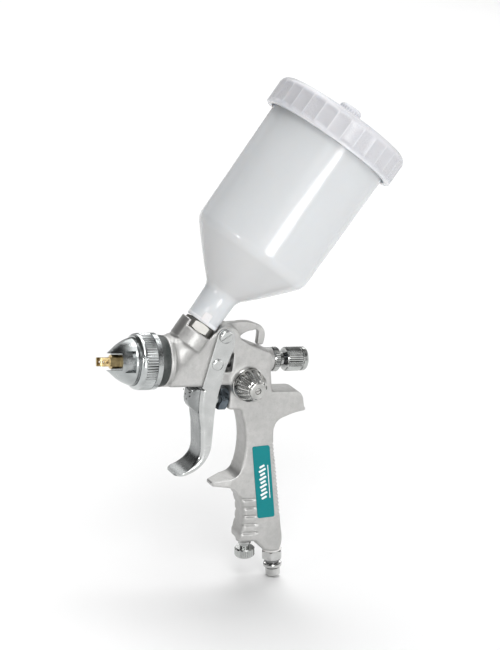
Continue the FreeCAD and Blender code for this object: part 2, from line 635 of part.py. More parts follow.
# ---- controls -----------------------------------------------------------------------------
def fan_housing():
    """Threaded sleeve and round flange that carry the fan control's stem."""
    body = turned(FAN, NEAR, (1.2, 0), (1.2, FAN_BORE_R), (PAD_Y + 0.05, FAN_BORE_R),
                  (PAD_Y + 0.05, 12.0), (PAD_Y + 0.5, 12.5), (PAD_Y + 2.2, 12.5), (PAD_Y + 2.6, 12.0),
                  (PAD_Y + 2.6, 0))
    return body.cut(rod(FAN, NEAR, 3.05, 0, 20))


def fan_stem():
    return turned(FAN, NEAR, (-2.6, 0), (-2.6, 0.6), (1.6, 1.9), (1.8, 3.0), (24.6, 3.0), (24.6, 0))


def fan_knob():
    """Tapered fan-width knob with deep flutes."""
    y0 = PAD_Y + 2.9
    blank = turned(FAN, NEAR, (y0, 0), (y0, 11.2), (y0 + 0.8, 11.9), (y0 + 3.2, 11.7),
                   ((y0 + 8.6, 10.0), (y0 + 12.6, 7.6)), (y0 + 13.0, 6.4), (y0 + 14.2, 6.2),
                   ((y0 + 14.8, 5.8), (y0 + 15.0, 5.0)), (y0 + 15.0, 0))
    flutes = []
    for i in range(14):
        side = FreeCAD.Rotation(NEAR, 360.0 * i / 14).multVec(Vector(0, 0, 1))
        low = FAN + NEAR * (y0 + 2.6) + side * 12.6
        high = FAN + NEAR * (y0 + 15.2) + side * 7.5
        flutes.append(Part.makeCylinder(1.75, (high - low).Length, low, high - low))
    fluted = blank.cut(flutes)
    bore = rod(FAN, NEAR, 3.0, 0, 24.6)
    seat = rod(FAN, NEAR, 2.4, 24.0, 40)
    return fluted.cut([bore, seat])


def fan_knob_screw():
    """Small slotted screw that holds the knob on its stem."""
    end = PAD_Y + 2.9 + 14.6
    screw = turned(FAN, NEAR, (24.7, 0), (24.7, 2.3), (end - 0.3, 2.3), (end, 1.9), (end, 0))
    return screw.cut(slot_cut(FAN, NEAR, 20.0, 3.0, 0.7, 0.7, end))


def regulator_bushing():
    f = REG_FACE
    body = turned(REG_BASE, REG_AXIS, (-13.4, 0), (-13.4, 3.5), (f + 0.05, 3.5), (f + 0.05, 4.4),
                  (f + 0.5, 4.8), (f + 2.0, 4.8), (f + 2.4, 4.4), (f + 2.4, 0))
    return body.cut(rod(REG_BASE, REG_AXIS, 2.45, -14, 4))


def regulator_knob():
    """Air regulator's fluted disc on a short stem."""
    stem = turned(REG_BASE, REG_AXIS, (-10.0, 0), (-8.0, 1.6), (-8.0, 2.4), (4.1, 2.4), (4.4, 3.4),
                  (7.2, 3.4), (7.2, 0))
    blank = turned(REG_BASE, REG_AXIS, (7.0, 0), (7.0, 6.6), (7.8, 7.5), (12.6, 7.5),
                   ((14.4, 5.6), (15.0, 3.0)), (15.0, 0))
    fluted = notched(REG_BASE, REG_AXIS, blank, 14, 8.1, 1.15, 6.6, 15.6)
    return stem.fuse(fluted)


def inlet_plug():
    """Quick-coupler plug: thread, hexagon, collar and straight nose, bored through."""
    shank = rod(INLET_BASE, INLET_AXIS, 5.0, -11.0, 1.3)
    hexed = hexagon(INLET_BASE, INLET_AXIS, 7.0, 1.15, 8.0, 90.0)
    nose = turned(INLET_BASE, INLET_AXIS, (7.8, 0), (7.8, 5.3), (9.0, 4.7), (11.2, 4.7), (11.6, 6.4),
                  (12.2, 6.9), (14.0, 6.9), (14.6, 6.4), (14.9, 4.5), (15.4, 4.5), (15.6, PLUG_R),
                  (PLUG_NOSE, PLUG_R), (PLUG_NOSE + 0.8, PLUG_R - 0.8), (PLUG_NOSE + 0.8, 0))
    return shank.fuse([hexed, nose]).cut(rod(INLET_BASE, INLET_AXIS, 3.2, -12, 30))


def inlet_washer():
    return tube(INLET_BASE, INLET_AXIS, 6.8, 5.1, 0.02, 1.1)


# ---- cup ----------------------------------------------------------------------------------
def cup_fitting():
    """Plated fitting: thread into the boss, hexagon, and a spigot into the cup's neck."""
    lower = rod(ZERO, CUP_AXIS, 7.0, 13.2, NUT_BOTTOM + 0.1)
    hexed = hexagon(ZERO, CUP_AXIS, 10.0, NUT_BOTTOM, NUT_TOP, 12.0)
    spigot = turned(ZERO, CUP_AXIS, (NUT_TOP - 0.1, 0), (NUT_TOP - 0.1, 8.5), (45.6, 8.5), (46.4, 7.8),
                    (46.4, 0))
    bore = turned(ZERO, CUP_AXIS, (12.0, 0), (12.0, 3.6), (27.0, 3.6), (33.0, 6.0), (48.0, 6.0), (48.0, 0))
    return lower.fuse([hexed, spigot]).cut(bore)


def cup():
    """Hollow cup: neck, flared cone, rounded shoulder and slightly tapering wall."""
    outside = turned(ZERO, CUP_AXIS, (CUP_NECK_BOTTOM, 0), (CUP_NECK_BOTTOM, CUP_NECK_R - 0.6),
                     (CUP_NECK_BOTTOM + 0.6, CUP_NECK_R), (54.0, 12.4), ((57.4, 12.9), (60.6, 14.6)),
                     ((76.0, 29.4), (90.2, 41.8)), ((93.8, 44.3), (98.8, 45.2)), (184.0, CUP_R),
                     (188.8, CUP_R), (189.6, 47.4), (200.0, 47.4), (201.0, CUP_R), (CUP_TOP, CUP_R),
                     (CUP_TOP, 0))
    inside = turned(ZERO, CUP_AXIS, (CUP_NECK_BOTTOM - 1, 0), (CUP_NECK_BOTTOM - 1, 8.6), (46.6, 8.6),
                    (47.0, 9.8), (54.6, 10.2), ((56.6, 10.6), (59.4, 12.2)), ((75.0, 27.2), (89.0, 39.4)),
                    ((93.0, 42.2), (98.8, 43.2)), (184.0, CUP_R - CUP_WALL),
                    (CUP_TOP + 1, CUP_R - CUP_WALL), (CUP_TOP + 1, 0))
    lug = rod(ZERO, CUP_AXIS, CUP_NECK_R + 0.9, CUP_NECK_BOTTOM + 0.2, 41.6)
    side = Part.makeBox(14.0, 6.4, 60.0, Vector(0, -3.2, 0))
    side.rotate(ZERO, Vector(0, 0, 1), -112.0)
    side.rotate(ZERO, Y_AXIS, CUP_TILT)
    return outside.fuse(lug.common(side)).cut(inside)


def paint_filter():
    """Slotted strainer that stands in the cup's neck."""
    sleeve = turned(ZERO, CUP_AXIS, (47.2, 4.6), (47.2, 8.6), (49.0, 8.6), (49.2, 5.6), (78.0, 4.9),
                    (80.0, 3.4), (80.0, 0), (78.8, 0), (77.4, 4.1), (49.0, 4.6))
    slots = []
    for i in range(4):
        box = Part.makeBox(24.0, 14.0, 1.3, Vector(51.0, -7.0, -0.65))
        box.rotate(ZERO, X_AXIS, 45.0 * i)
        stand = FreeCAD.Placement(ZERO, FreeCAD.Rotation(X_AXIS, CUP_AXIS))
        box.Placement = stand.multiply(box.Placement)
        slots.append(box)
    return sleeve.cut(slots)


def cup_lid():
    """Screw lid with a softly ribbed skirt and a vent hole in its middle."""
    blank = turned(ZERO, CUP_AXIS, (LID_BOTTOM, 0), (LID_BOTTOM, LID_R - 0.7), (LID_BOTTOM + 0.7, LID_R),
                   (203.6, LID_R), ((207.6, 51.4), (LID_TOP, 48.2)), (LID_TOP, 0))
    ribbed = notched(ZERO, CUP_AXIS, blank, 30, LID_R + 5.2, 6.0, LID_BOTTOM + 2.4, LID_TOP + 1)
    inside = turned(ZERO, CUP_AXIS, (LID_BOTTOM - 1, 0), (LID_BOTTOM - 1, 48.2), (206.8, 48.2), (206.8, 0))
    rim = tube(ZERO, CUP_AXIS, 43.6, 42.2, 201.0, 207.0)
    return ribbed.cut(inside).fuse(rim).cut(rod(ZERO, CUP_AXIS, 3.15, 190, 230))


def lid_seal():
    return tube(ZERO, CUP_AXIS, 48.0, 43.8, CUP_TOP + 0.05, 206.75)


def vent_cap():
    """Round vent cap on the lid, with a short plug through it."""
    return turned(ZERO, CUP_AXIS, (203.4, 0), (203.4, 3.0), (LID_TOP + 0.1, 3.0), (LID_TOP + 0.1, VENT_R),
                  (VENT_TOP - 2.2, VENT_R), ((VENT_TOP - 0.7, VENT_R - 0.7), (VENT_TOP, VENT_R - 2.2)),
                  (VENT_TOP, 0))


# ---- write one STEP for each node ---------------------------------------------------------
NODES = [gun_body, side_label, fluid_nozzle, air_distributor, air_cap, air_cap_horns, air_cap_ring,
         front_seal, fluid_needle, needle_collar, needle_packing, packing_nut, needle_spring,
         fluid_bushing, fluid_lock_ring, fluid_knob, trigger, needle_push_pins, pivot_screw, pivot_nut,
         air_valve_nut, air_valve_gland, air_valve_seat, air_valve_stem, air_valve_spring,
         fan_housing, fan_stem, fan_knob, fan_knob_screw, regulator_bushing, regulator_knob,
         inlet_plug, inlet_washer, cup_fitting, cup, paint_filter, cup_lid, lid_seal, vent_cap]


def main():
    os.makedirs("parts", exist_ok=True)
    for make in NODES:
        shape = make()
        shape.translate(ORIGIN * -1)
        shape.exportStep("parts/" + make.__name__ + ".step")
        print(make.__name__, "solids", len(shape.Solids), "valid", shape.isValid(),
              "volume", round(shape.Volume, 1))


main()
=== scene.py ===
import math

import bmesh
import bpy
import numpy as np
from mathutils import Matrix, Vector

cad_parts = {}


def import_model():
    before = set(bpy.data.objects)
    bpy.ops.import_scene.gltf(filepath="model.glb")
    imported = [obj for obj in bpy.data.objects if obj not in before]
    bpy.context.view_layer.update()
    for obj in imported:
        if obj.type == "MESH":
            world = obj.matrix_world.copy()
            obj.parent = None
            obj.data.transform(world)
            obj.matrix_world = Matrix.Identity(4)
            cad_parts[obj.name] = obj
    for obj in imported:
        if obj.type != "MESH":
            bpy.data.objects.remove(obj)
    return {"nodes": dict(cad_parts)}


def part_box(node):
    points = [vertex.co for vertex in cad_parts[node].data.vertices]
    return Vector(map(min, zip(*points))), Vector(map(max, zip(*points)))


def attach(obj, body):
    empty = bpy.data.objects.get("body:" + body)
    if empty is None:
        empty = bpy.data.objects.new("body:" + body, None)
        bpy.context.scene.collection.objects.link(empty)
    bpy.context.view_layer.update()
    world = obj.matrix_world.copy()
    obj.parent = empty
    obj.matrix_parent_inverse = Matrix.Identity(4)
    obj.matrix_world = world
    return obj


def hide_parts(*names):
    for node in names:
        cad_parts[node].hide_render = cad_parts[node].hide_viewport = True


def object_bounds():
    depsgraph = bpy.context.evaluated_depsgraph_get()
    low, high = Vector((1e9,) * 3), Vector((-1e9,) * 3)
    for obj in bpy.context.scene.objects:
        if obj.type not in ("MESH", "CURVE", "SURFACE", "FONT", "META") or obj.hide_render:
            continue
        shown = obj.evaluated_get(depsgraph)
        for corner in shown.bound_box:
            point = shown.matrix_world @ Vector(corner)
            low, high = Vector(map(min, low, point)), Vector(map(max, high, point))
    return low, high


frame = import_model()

CAD_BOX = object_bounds()
MM = 0.001

# The gun frame used below: X back along the needle's axis, Z up, origin where the cup's axis crosses it.
NEEDLE_LO, NEEDLE_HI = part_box("fluid_needle")
ORIGIN = Vector((NEEDLE_LO.x + 50.2 * MM, 0.0, (NEEDLE_LO.z + NEEDLE_HI.z) / 2))
ORIGIN_MM = np.array(ORIGIN) / MM

# Directions and places in the gun frame, in mm.
CUP_TILT = math.radians(32.0)
INLET_TILT = math.radians(10.0)
REGULATOR_TILT = math.radians(8.0)
HEAD_AXIS = Vector((1.0, 0.0, 0.0))
NEAR_AXIS = Vector((0.0, -1.0, 0.0))
CUP_AXIS = Vector((math.sin(CUP_TILT), 0.0, math.cos(CUP_TILT)))
INLET_AXIS = Vector((math.sin(INLET_TILT), 0.0, -math.cos(INLET_TILT)))
REGULATOR_AXIS = Vector((math.sin(REGULATOR_TILT), 0.0, -math.cos(REGULATOR_TILT)))
CROSSING = (0.0, 0.0, 0.0)
VALVE = (0.0, 0.0, -28.0)
PIVOT = (33.0, 0.0, 20.8)
FAN = (55.0, 0.0, -14.8)
INLET = (96.8, 0.0, -147.0)
REGULATOR = (73.2, 0.0, -138.3)
LABEL_X, LABEL_Z = 78.3, -91.1
LABEL_TILT = math.radians(11.8)
LABEL_ENDS = math.radians(3.7)
HANDLE_HALF = 9.0


def gun(x, y, z):
    """Point in the gun frame, in mm, as a point in the row frame, in metres."""
    return ORIGIN + Vector((x, y, z)) * MM


# ---- node helpers -------------------------------------------------------------------------
class Look:
    """A material being built: one Principled shader and the nodes that feed it."""

    def __init__(self, name, **values):
        self.mat = bpy.data.materials.new(name)
        self.mat.use_nodes = True
        self.tree = self.mat.node_tree
        self.shader = self.tree.nodes["Principled BSDF"]
        for key, value in values.items():
            self.shader.inputs[key.replace("_", " ")].default_value = value
        self.coords = self.add("ShaderNodeTexCoord").outputs["Object"]

    def add(self, kind, **settings):
        node = self.tree.nodes.new(kind)
        for key, value in settings.items():
            setattr(node, key, value)
        return node

    def link(self, out, into):
        self.tree.links.new(out, into)

    def noise(self, scale, detail, rough, stretch=None):
        """Noise of a given scale (1/m), as a value from 0 to 1; stretch scales the three axes."""
        node = self.add("ShaderNodeTexNoise")
        node.inputs["Scale"].default_value = scale
        node.inputs["Detail"].default_value = detail
        node.inputs["Roughness"].default_value = rough
        source = self.coords
        if stretch is not None:
            mapping = self.add("ShaderNodeMapping")
            mapping.inputs["Scale"].default_value = stretch
            self.link(self.coords, mapping.inputs["Vector"])
            source = mapping.outputs["Vector"]
        self.link(source, node.inputs["Vector"])
        return node.outputs["Fac"]

    def span(self, value, low, high, at=(0.3, 0.7)):
        """Value spread over low to high as it goes between the two positions."""
        node = self.add("ShaderNodeMapRange")
        for socket, number in zip(("From Min", "From Max", "To Min", "To Max"), (*at, low, high)):
            node.inputs[socket].default_value = number
        self.link(value, node.inputs["Value"])
        return node.outputs["Result"]

    def mix(self, factor, a, b):
        """Colour from a to b as the factor goes from 0 to 1; each may be a value or a socket."""
        node = self.add("ShaderNodeMix", data_type="RGBA")
        for socket, value in zip((node.inputs[0], node.inputs[6], node.inputs[7]), (factor, a, b)):
            if isinstance(value, bpy.types.NodeSocket):
                self.link(value, socket)
            elif isinstance(value, tuple):
                socket.default_value = (*value, 1.0)
            else:
                socket.default_value = value
        return node.outputs[2]

    def maths(self, operation, a, b):
        node = self.add("ShaderNodeMath", operation=operation)
        for socket, value in zip(node.inputs, (a, b)):
            if isinstance(value, bpy.types.NodeSocket):
                self.link(value, socket)
            else:
                socket.default_value = value
        return node.outputs[0]

    def pointy(self, low, high):
        """0 to 1 as pointiness goes from low to high; it is under 0.5 in a crevice, over it on an edge."""
        value = self.add("ShaderNodeNewGeometry").outputs["Pointiness"]
        return self.span(value, 0.0, 1.0, (low, high))

    def axis_coords(self, origin, axis):
        """Coordinates turned so that Z runs along an axis through origin, in metres."""
        turn = axis.to_track_quat("Z", "Y").inverted()
        mapping = self.add("ShaderNodeMapping", vector_type="POINT")
        mapping.inputs["Rotation"].default_value = turn.to_euler()
        mapping.inputs["Location"].default_value = -(turn @ origin)
        self.link(self.coords, mapping.inputs["Vector"])
        return mapping.outputs["Vector"]

    def bands(self, coords, scale, distort):
        """Fine rings about the coordinates' Z axis, 0 to 1."""
        node = self.add("ShaderNodeTexWave", wave_type="BANDS", bands_direction="Z")
        node.inputs["Scale"].default_value = scale
        node.inputs["Distortion"].default_value = distort
        node.inputs["Detail"].default_value = 2.0
        self.link(coords, node.inputs["Vector"])
        return node.outputs["Fac"]

    def bump(self, height, distance, strength, after=None):
        """Normal from a height, on top of an earlier normal where one is given."""
        node = self.add("ShaderNodeBump")
        node.inputs["Strength"].default_value = strength
        node.inputs["Distance"].default_value = distance
        self.link(height, node.inputs["Height"])
        if after is not None:
            self.link(after, node.inputs["Normal"])
        return node.outputs["Normal"]

    def feed(self, **sockets):
        """Link outputs to the shader's inputs, named with underscores, and hand back the material."""
        for key, out in sockets.items():
            self.link(out, self.shader.inputs[key.replace("_", " ")])
        return self.mat


def cast_metal():
    """Blasted aluminium casting: grey with fine grain, rubbed brighter along its edges."""
    look = Look("Cast_aluminium", Metallic=0.86, Roughness=0.46)
    broad = look.noise(38.0, 5.0, 0.6)
    grain = look.noise(1500.0, 3.0, 0.7)
    pits = look.noise(620.0, 4.0, 0.65)
    mottle = look.noise(260.0, 3.0, 0.6)
    colour = look.mix(look.span(broad, 0.0, 1.0), (0.43, 0.428, 0.42), (0.51, 0.507, 0.497))
    colour = look.mix(look.span(mottle, 0.0, 0.35, (0.40, 0.62)), colour, (0.36, 0.358, 0.35))
    colour = look.mix(look.span(pits, 0.0, 0.40, (0.56, 0.72)), colour, (0.33, 0.33, 0.325))
    rubbed = look.maths("MULTIPLY", look.pointy(0.51, 0.57), 0.55)
    colour = look.mix(rubbed, colour, (0.80, 0.80, 0.79))
    roughness = look.maths("ADD", look.span(broad, 0.40, 0.48), look.span(grain, -0.05, 0.05))
    fine = look.bump(grain, 0.00008, 0.7)
    normal = look.bump(pits, 0.00030, 0.6, fine)
    return look.feed(Base_Color=colour, Roughness=roughness, Normal=normal)


def plated(name, dark, light, rough_low, rough_high, origin=None, axis=None, rings=0.0, painted_shade=0.0):
    """Polished or plated metal: faint clouding, fine scratches, turned rings about an axis, and painted
    shade in crevices.

    The numbers are the roughness range, the strength of the rings, and how far the painted shade darkens
    crevices."""
    look = Look(name, Metallic=1.0, Roughness=rough_low)
    cloud = look.noise(120.0, 4.0, 0.6)
    scratch = look.noise(900.0, 4.0, 0.7, stretch=(0.18, 1.0, 1.0))
    colour = look.mix(look.span(cloud, 0.0, 1.0), dark, light)
    if painted_shade:
        # Painted shade: crevices darkened towards near black.
        crevice = look.maths("MULTIPLY", look.pointy(0.50, 0.44), painted_shade)
        colour = look.mix(crevice, colour, (0.05, 0.05, 0.055))
    worn = look.span(cloud, rough_low, rough_high)
    roughness = look.maths("ADD", worn, look.span(scratch, -0.02, 0.03))
    normal = look.bump(scratch, 0.00002, 0.35)
    if axis is not None:
        turned = look.bands(look.axis_coords(origin, axis), 900.0, 0.6)
        normal = look.bump(turned, 0.00001, rings, normal)
    return look.feed(Base_Color=colour, Roughness=roughness, Normal=normal)


def frosted(name, base, scatter, rough):
    """Moulded milky plastic: light scatters in its wall, with a soft gloss and a trace of flow marks."""
    look = Look(name, Metallic=0.0, Roughness=rough, IOR=1.5)
    look.shader.inputs["Subsurface Weight"].default_value = scatter
    look.shader.inputs["Subsurface Radius"].default_value = (0.6, 0.8, 1.0)
    look.shader.inputs["Subsurface Scale"].default_value = 0.008
    flow = look.noise(26.0, 3.0, 0.55, stretch=(1.0, 1.0, 0.35))
    skin = look.noise(1100.0, 3.0, 0.6)
    colour = look.mix(look.span(flow, 0.0, 1.0), tuple(c * 0.965 for c in base), base)
    # Painted highlight: convex edges lightened.
    edge = look.maths("MULTIPLY", look.pointy(0.505, 0.54), 0.4)
    colour = look.mix(edge, colour, (0.85, 0.85, 0.87))
    # Painted shade: crevices darkened.
    crevice = look.maths("MULTIPLY", look.pointy(0.497, 0.46), 0.22)
    colour = look.mix(crevice, colour, (0.45, 0.46, 0.48))
    gloss = look.span(flow, rough - 0.03, rough + 0.05)
    roughness = look.maths("ADD", gloss, look.span(skin, -0.02, 0.02))
    normal = look.bump(flow, 0.0006, 0.2, look.bump(skin, 0.00003, 0.35))
    return look.feed(Base_Color=colour, Roughness=roughness, Normal=normal)


def rubber():
    """Black rubber with a little dust in it."""
    look = Look("Black_rubber", Roughness=0.42)
    dust = look.noise(700.0, 4.0, 0.6)
    colour = look.mix(look.span(dust, 0.0, 1.0), (0.012, 0.016, 0.015), (0.035, 0.042, 0.040))
    roughness = look.span(dust, 0.34, 0.52)
    return look.feed(Base_Color=colour, Roughness=roughness, Normal=look.bump(dust, 0.00003, 0.4))


def label_film(name, base, rough):
    """Printed film under a thin clear coat."""
    look = Look(name, Roughness=rough)
    look.shader.inputs["Specular IOR Level"].default_value = 0.2
    look.shader.inputs["Coat Weight"].default_value = 0.04
    look.shader.inputs["Coat Roughness"].default_value = 0.12
    wear = look.noise(160.0, 5.0, 0.65)
    grain = look.noise(1800.0, 2.0, 0.5)
    colour = look.mix(look.span(wear, 0.0, 1.0), tuple(c * 0.93 for c in base), base)
    colour = look.mix(look.span(grain, 0.0, 0.03, (0.6, 0.8)), colour, (0.75, 0.85, 0.85))
    return look.feed(Base_Color=colour, Roughness=look.span(wear, rough - 0.04, rough + 0.08),
                     Normal=look.bump(grain, 0.00002, 0.3))


def painted_hole_shade():
    """Painted shade: near black, for the shade in a small pressed hole."""
    look = Look("Painted_hole_shade", Roughness=0.6)
    shade_noise = look.noise(900.0, 4.0, 0.6)
    return look.feed(Base_Color=look.mix(shade_noise, (0.012, 0.013, 0.014), (0.05, 0.05, 0.05)),
                     Roughness=look.span(shade_noise, 0.5, 0.7), Normal=look.bump(shade_noise, 0.00003, 0.4))


CAST = cast_metal()
CHROME = plated("Chrome", (0.46, 0.48, 0.48), (0.60, 0.62, 0.62), 0.16, 0.24,
                gun(*CROSSING), HEAD_AXIS, 0.5, 0.8)
NICKEL = plated("Nickel", (0.40, 0.41, 0.40), (0.56, 0.57, 0.56), 0.12, 0.22,
                gun(*CROSSING), HEAD_AXIS, 0.4, 0.8)
FAN_METAL = plated("Fan_nickel", (0.42, 0.42, 0.41), (0.60, 0.60, 0.58), 0.13, 0.24,
                   gun(*FAN), NEAR_AXIS, 0.4, 0.8)
PLUG_METAL = plated("Plug_nickel", (0.48, 0.48, 0.475), (0.68, 0.68, 0.67), 0.09, 0.18,
                    gun(*INLET), INLET_AXIS, 0.4, 0.7)
CUP_METAL = plated("Fitting_nickel", (0.36, 0.355, 0.335), (0.50, 0.49, 0.47), 0.46, 0.56,
                   gun(*CROSSING), CUP_AXIS, 0.4, 0.6)
STEEL = plated("Polished_steel", (0.50, 0.51, 0.505), (0.60, 0.61, 0.605), 0.17, 0.27)
# Painted dark reflection: a darker copy of the polished steel, for the lever's web and pocket.
DARK_REFLECTION_STEEL = plated("Polished_steel_dark_reflection", (0.24, 0.25, 0.25), (0.34, 0.35, 0.35), 0.20, 0.30)
CAP_CHROME = plated("Cap_chrome", (0.36, 0.38, 0.38), (0.50, 0.52, 0.52), 0.18, 0.28,
                    gun(*CROSSING), HEAD_AXIS, 0.8, 0.8)
DARK_STEEL = plated("Steel", (0.42, 0.42, 0.42), (0.58, 0.58, 0.58), 0.22, 0.34,
                    gun(*CROSSING), HEAD_AXIS, 0.4)
BLACKENED = plated("Blackened_steel", (0.07, 0.09, 0.11), (0.20, 0.23, 0.26), 0.10, 0.18,
                   gun(*CROSSING), HEAD_AXIS, 0.4, 0.5)
BRASS = plated("Brass", (0.46, 0.35, 0.17), (0.66, 0.52, 0.28), 0.16, 0.28,
               gun(*CROSSING), HEAD_AXIS, 0.4, 0.4)
RUBBER = rubber()
SEAL = frosted("White_seal", (0.86, 0.86, 0.84), 0.2, 0.4)
CUP_PLASTIC = frosted("Frosted_cup", (0.585, 0.605, 0.625), 0.30, 0.15)
LID_PLASTIC = frosted("Frosted_lid", (0.53, 0.53, 0.555), 0.30, 0.26)
FILM = label_film("Label_film", (0.0, 0.19, 0.205), 0.42)
PRINT = label_film("Label_print", (0.80, 0.82, 0.82), 0.34)
HOLE_SHADE = painted_hole_shade()

LOOKS = {
    "air_cap": CAP_CHROME, "air_cap_ring": CHROME, "air_cap_horns": BRASS, "front_seal": RUBBER,
    "fluid_nozzle": DARK_STEEL, "air_distributor": BRASS, "fluid_needle": DARK_STEEL,
    "needle_collar": DARK_STEEL, "needle_packing": SEAL, "packing_nut": BRASS,
    "needle_spring": DARK_STEEL, "fluid_bushing": NICKEL, "fluid_lock_ring": NICKEL,
    "fluid_knob": NICKEL, "trigger": STEEL, "needle_push_pins": STEEL, "pivot_screw": STEEL,
    "pivot_nut": NICKEL, "air_valve_nut": BLACKENED, "air_valve_gland": NICKEL, "air_valve_seat": SEAL,
    "air_valve_stem": DARK_STEEL, "air_valve_spring": DARK_STEEL, "fan_housing": FAN_METAL,
    "fan_stem": DARK_STEEL, "fan_knob": FAN_METAL, "fan_knob_screw": FAN_METAL,
    "regulator_bushing": NICKEL, "regulator_knob": NICKEL, "inlet_plug": PLUG_METAL,
    "inlet_washer": SEAL, "cup_fitting": CUP_METAL, "paint_filter": SEAL, "lid_seal": SEAL,
    "gun_body": CAST, "side_label": FILM, "cup": CUP_PLASTIC, "cup_lid": LID_PLASTIC,
    "vent_cap": LID_PLASTIC,
}


# ---- mesh helpers -------------------------------------------------------------------------
def new_object(name, mesh, material):
    """Object in the scene, in one material."""
    obj = bpy.data.objects.new(name, mesh)
    bpy.context.scene.collection.objects.link(obj)
    mesh.materials.clear()
    mesh.materials.append(material)
    return obj


def made(name, verts, faces, material, body, sharp):
    """New piece from vertices in metres, smooth except across edges sharper than an angle."""
    mesh = bpy.data.meshes.new(name)
    mesh.from_pydata([tuple(v) for v in verts], [], faces)
    mesh.validate()
    bm = bmesh.new()
    bm.from_mesh(mesh)
    bmesh.ops.recalc_face_normals(bm, faces=bm.faces)
    bm.to_mesh(mesh)
    bm.free()
    mesh.shade_smooth()
    mesh.set_sharp_from_angle(angle=math.radians(sharp))
    obj = new_object(name, mesh, material)
    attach(obj, body)
    return obj


def arc(a, b, c, steps):
    """Points on the circle through a, b and c, from a (left out) to c."""
    ax, ay, bx, by, cx, cy = *a, *b, *c
    d = 2 * (ax * (by - cy) + bx * (cy - ay) + cx * (ay - by))
    ux = ((ax**2 + ay**2) * (by - cy) + (bx**2 + by**2) * (cy - ay) + (cx**2 + cy**2) * (ay - by)) / d
    uy = ((ax**2 + ay**2) * (cx - bx) + (bx**2 + by**2) * (ax - cx) + (cx**2 + cy**2) * (bx - ax)) / d
    r = math.hypot(ax - ux, ay - uy)
    start, mid, end = (math.atan2(y - uy, x - ux) for x, y in (a, b, c))
    span = (end - start) % (2 * math.pi)
    if (mid - start) % (2 * math.pi) > span:
        span -= 2 * math.pi
    turns = [start + span * (i + 1) / steps for i in range(steps)]
    return [(ux + r * math.cos(t), uy + r * math.sin(t)) for t in turns]


def lathed(profile, axis, segments, radius_at=None):
    """Ring-by-ring surface of (along, radius) points, in mm, about an axis through the gun origin.

    A profile that starts off the axis is closed back to its first point."""
    side = Vector((0, 1, 0))
    up = axis.cross(side)
    verts, faces, rings = [], [], []
    on_axis = 1e-6
    for along, radius in profile:
        ring = []
        count = 1 if radius < on_axis else segments
        for i in range(count):
            turn = 2 * math.pi * i / segments
            r = radius if radius_at is None else radius_at(along, radius, turn)
            out = side * math.cos(turn) + up * math.sin(turn)
            ring.append(len(verts))
            verts.append(gun(*CROSSING) + (axis * along + out * r) * MM)
        rings.append(ring)
    pairs = list(zip(rings, rings[1:]))
    if profile[0][1] > on_axis:
        pairs.append((rings[-1], rings[0]))
    for a, b in pairs:
        for i in range(segments):
            j = (i + 1) % segments
            quad = [a[i % len(a)], a[j % len(a)], b[j % len(b)], b[i % len(b)]]
            corners = list(dict.fromkeys(quad))
            if len(corners) > 2:
                faces.append(corners)
    return verts, faces


def rounded_outline(half_x, half_z, corner, steps=8):
    """Rectangle with round corners about the origin."""
    points = []
    for cx, cz, start in ((half_x, half_z, 0), (-half_x, half_z, 90), (-half_x, -half_z, 180),
                          (half_x, -half_z, 270)):
        mx = cx - math.copysign(corner, cx)
        mz = cz - math.copysign(corner, cz)
        for i in range(steps + 1):
            turn = math.radians(start + 90 * i / steps)
            points.append((mx + corner * math.cos(turn), mz + corner * math.sin(turn)))
    return points


def drum_faces(count, levels):
    """Faces round a stack of outlines with the same number of points, closed at both ends."""
    faces = []
    for level in range(levels - 1):
        for i in range(count):
            j = (i + 1) % count
            faces.append([level * count + i, level * count + j, (level + 1) * count + j,
                          (level + 1) * count + i])
    faces.append(list(range(count)))
    faces.append([(levels - 1) * count + i for i in range(count)])
    return faces


# ---- casting ------------------------------------------------------------------------------
def axis_distance(points, base, axis):
    """(distance along, distance from) an axis, for points in mm."""
    rel = points - np.array(base, float)
    unit = np.array(axis, float) / np.linalg.norm(axis)
    along = rel @ unit
    return along, np.linalg.norm(rel - along[:, None] * unit, axis=1)


def keep_mask(p):
    """0 where the casting meets other pieces and has to keep its CAD shape, and 1 elsewhere."""
    # Each seat: base, axis, radius, and the reach along the axis, in mm.
    seats = (
        (CROSSING, HEAD_AXIS, 6.6, -12, 45), (CROSSING, HEAD_AXIS, 8.0, 41, 78),
        (VALVE, HEAD_AXIS, 7.6, 41, 81), (CROSSING, CUP_AXIS, 8.0, 8, 27),
        (CROSSING, CUP_AXIS, 13.0, 25.4, 70), (PIVOT, -NEAR_AXIS, 4.2, -14, 14),
        (FAN, NEAR_AXIS, 12.5, 9.2, 14), (FAN, NEAR_AXIS, 7.2, -6, 14),
        (INLET, INLET_AXIS, 6.2, -14, 3), (REGULATOR, REGULATOR_AXIS, 6.0, -16, 4),
    )
    fade, head_face, head_fade = 1.2, -9.4, 1.0
    keep = np.ones(len(p))
    for base, axis, radius, low, high in seats:
        along, away = axis_distance(p, base, axis)
        inside = (along > low) & (along < high)
        keep = np.where(inside, np.minimum(keep, np.clip((away - radius) / fade, 0, 1)), keep)
    return keep * np.clip((p[:, 0] - head_face) / head_fade, 0, 1)


def quads_of(mesh):
    """Corner numbers of a mesh that has only quads."""
    corners = np.zeros(len(mesh.loops), np.int64)
    mesh.loops.foreach_get("vertex_index", corners)
    return corners.reshape(-1, 4)


def vertex_normals(p, quads):
    """Unit normals at the points, weighted by the area of the faces round them."""
    face = np.cross(p[quads[:, 2]] - p[quads[:, 0]], p[quads[:, 3]] - p[quads[:, 1]])
    total = np.zeros_like(p)
    for corner in range(4):
        for axis in range(3):
            total[:, axis] += np.bincount(quads[:, corner], face[:, axis], len(p))
    return total / np.maximum(np.linalg.norm(total, axis=1, keepdims=True), 1e-12)


def neighbour_mean(p, edges, degree):
    """Mean of each point's neighbours."""
    total = np.zeros_like(p)
    for a, b in ((0, 1), (1, 0)):
        for axis in range(3):
            total[:, axis] += np.bincount(edges[:, a], p[edges[:, b], axis], len(p))
    return total / degree[:, None]


